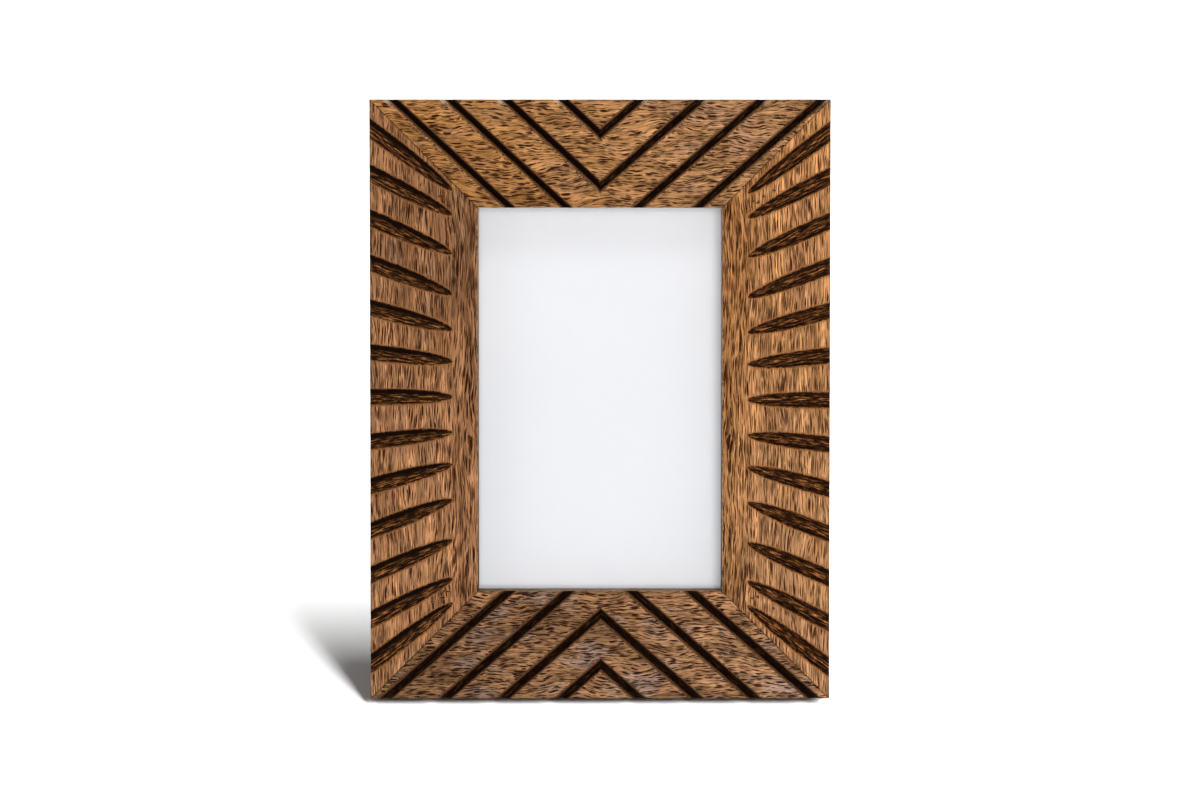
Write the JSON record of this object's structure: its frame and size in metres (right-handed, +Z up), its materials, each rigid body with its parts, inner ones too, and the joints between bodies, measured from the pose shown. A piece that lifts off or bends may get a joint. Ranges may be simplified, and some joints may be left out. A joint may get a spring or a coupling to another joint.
{
  "type": "picture frame",
  "caption": "Wooden tabletop picture frame with carved chevron rails and gouged rays on its stiles, glass, backing board and folding easel leg.",
  "frame": {"origin": "middle of the floor area that the standing frame covers, on the surface it stands on", "axes": "+Z up; the picture faces -Y and leans back towards +Y, where the easel leg stands; +X is to the viewer's right"},
  "size_m": [0.1674, 0.0768, 0.217],
  "materials": {
    "golden_wood": "oiled open-pored hardwood, golden brown, grooves burnt black",
    "brown_wood": "oiled open-pored hardwood, mid brown, carving burnt dark",
    "steel": "bright zinc plated",
    "brass": "brass plated",
    "glass": "clear",
    "insert_paper": "blank white, matt",
    "black_board": "fibreboard covered with matt black paper"
  },
  "bodies": {
    "frame": {"top_rail": "golden_wood", "bottom_rail": "brown_wood", "left_stile": "brown_wood", "right_stile": "brown_wood", "corner_nails": "steel", "glass_pane": "glass", "photo_insert": "insert_paper", "backing_board": "black_board", "board_hinge_leaf": "steel", "hinge_pin": "steel", "board_rivets": "steel", "button_screws": "steel"},
    "easel": {"easel_leg": "black_board", "leg_hinge_leaf": "steel", "leg_rivets": "steel"},
    "button_upper_left": {"turn_button_1": "brass"},
    "button_upper_right": {"turn_button_2": "brass"},
    "button_lower_left": {"turn_button_3": "brass"},
    "button_lower_right": {"turn_button_4": "brass"}
  },
  "joints": [
    {"name": "leg_fold", "type": "hinge", "parent": "frame", "child": "easel", "pos_m": [0, 0.01256, 0.14624], "axis": [1, 0, 0], "range_deg": [-21.58, 0]},
    {"name": "swivel_upper_left", "type": "hinge", "parent": "frame", "child": "button_upper_left", "pos_m": [-0.0608, 0.01116, 0.15068], "axis": [0, 0.9781, -0.2079], "continuous": true},
    {"name": "swivel_upper_right", "type": "hinge", "parent": "frame", "child": "button_upper_right", "pos_m": [0.0608, 0.01116, 0.15068], "axis": [0, 0.9781, -0.2079], "continuous": true},
    {"name": "swivel_lower_left", "type": "hinge", "parent": "frame", "child": "button_lower_left", "pos_m": [-0.0608, -0.00756, 0.06265], "axis": [0, 0.9781, -0.2079], "continuous": true},
    {"name": "swivel_lower_right", "type": "hinge", "parent": "frame", "child": "button_lower_right", "pos_m": [0.0608, -0.00756, 0.06265], "axis": [0, 0.9781, -0.2079], "continuous": true}
  ]
}
